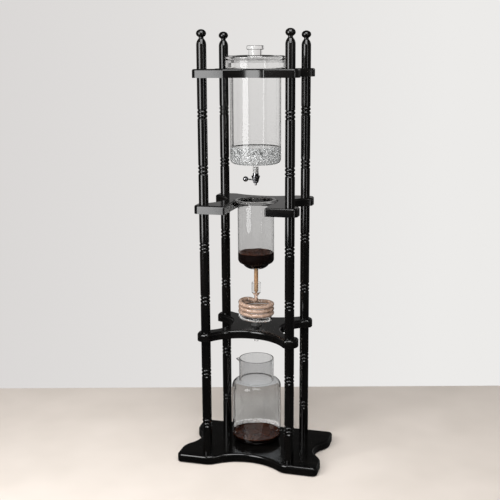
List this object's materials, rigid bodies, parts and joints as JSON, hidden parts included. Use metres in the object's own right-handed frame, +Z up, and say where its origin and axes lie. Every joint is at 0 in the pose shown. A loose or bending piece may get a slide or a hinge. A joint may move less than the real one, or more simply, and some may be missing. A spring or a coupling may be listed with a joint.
{
  "type": "cold drip coffee tower",
  "caption": "Tall open timber tower with turned posts and pierced shelves, holding a lidded glass water beaker with a drip tap over a coffee beaker, a glass coil and a carafe.",
  "frame": {"origin": "on the ground under the middle of the base, midway between the four posts", "axes": "+Z up, -Y towards the open front of the middle shelf, +X to the right seen from the front"},
  "size_m": [0.392, 0.256, 1.164],
  "materials": {
    "black_wood": "gloss lacquer",
    "steel": "zinc plated",
    "rubber": "matt",
    "glass": "clear borosilicate",
    "chrome": "polished",
    "silicone": "satin",
    "ceramic": "unglazed"
  },
  "bodies": {
    "frame": {"base_plate": "black_wood", "lower_shelf": "black_wood", "middle_shelf": "black_wood", "top_plate": "black_wood", "lower_spindle_front_left": "black_wood", "lower_spindle_front_right": "black_wood", "lower_spindle_back_left": "black_wood", "lower_spindle_back_right": "black_wood", "middle_spindle_front_left": "black_wood", "middle_spindle_front_right": "black_wood", "middle_spindle_back_left": "black_wood", "middle_spindle_back_right": "black_wood", "upper_spindle_front_left": "black_wood", "upper_spindle_front_right": "black_wood", "upper_spindle_back_left": "black_wood", "upper_spindle_back_right": "black_wood", "finial_front_left": "black_wood", "finial_front_right": "black_wood", "finial_back_left": "black_wood", "finial_back_right": "black_wood", "base_bolts": "steel", "lower_shelf_studs": "steel", "middle_shelf_studs": "steel", "top_plate_studs": "steel", "foot_pads": "rubber", "coil_grommet": "rubber"},
    "water_stage": {"water_beaker": "glass", "tap_seal": "silicone", "tap_nut": "chrome", "tap_body": "chrome", "drip_nozzle": "chrome"},
    "lid": {"beaker_lid": "glass"},
    "tap": {"tap_plug": "chrome", "tap_lever": "chrome", "tap_ball": "chrome", "plug_washer": "chrome", "plug_nut": "chrome"},
    "coffee_stage": {"coffee_beaker": "glass", "filter_disc": "ceramic", "filter_gasket": "silicone"},
    "coil": {"cooling_coil": "glass", "inlet_funnel": "glass"},
    "carafe": {"carafe": "glass"}
  },
  "joints": [
    {"name": "water_beaker_lift", "type": "slide", "parent": "frame", "child": "water_stage", "axis": [0, 0, 1], "range_m": [0, 0.41]},
    {"name": "lid_lift", "type": "slide", "parent": "water_stage", "child": "lid", "axis": [0, 0, 1], "range_m": [0, 0.08]},
    {"name": "tap_turn", "type": "hinge", "parent": "water_stage", "child": "tap", "pos_m": [0, -0.013, 0.776], "axis": [0, 1, 0], "range_deg": [-80, 10]},
    {"name": "coffee_beaker_lift", "type": "slide", "parent": "frame", "child": "coffee_stage", "axis": [0, 0, 1], "range_m": [0, 0.04]},
    {"name": "coil_turn", "type": "hinge", "parent": "frame", "child": "coil", "pos_m": [0, 0, 0.36], "axis": [0, 0, 1], "continuous": true},
    {"name": "carafe_draw", "type": "slide", "parent": "frame", "child": "carafe", "axis": [0, -1, 0], "range_m": [0, 0.24]}
  ]
}
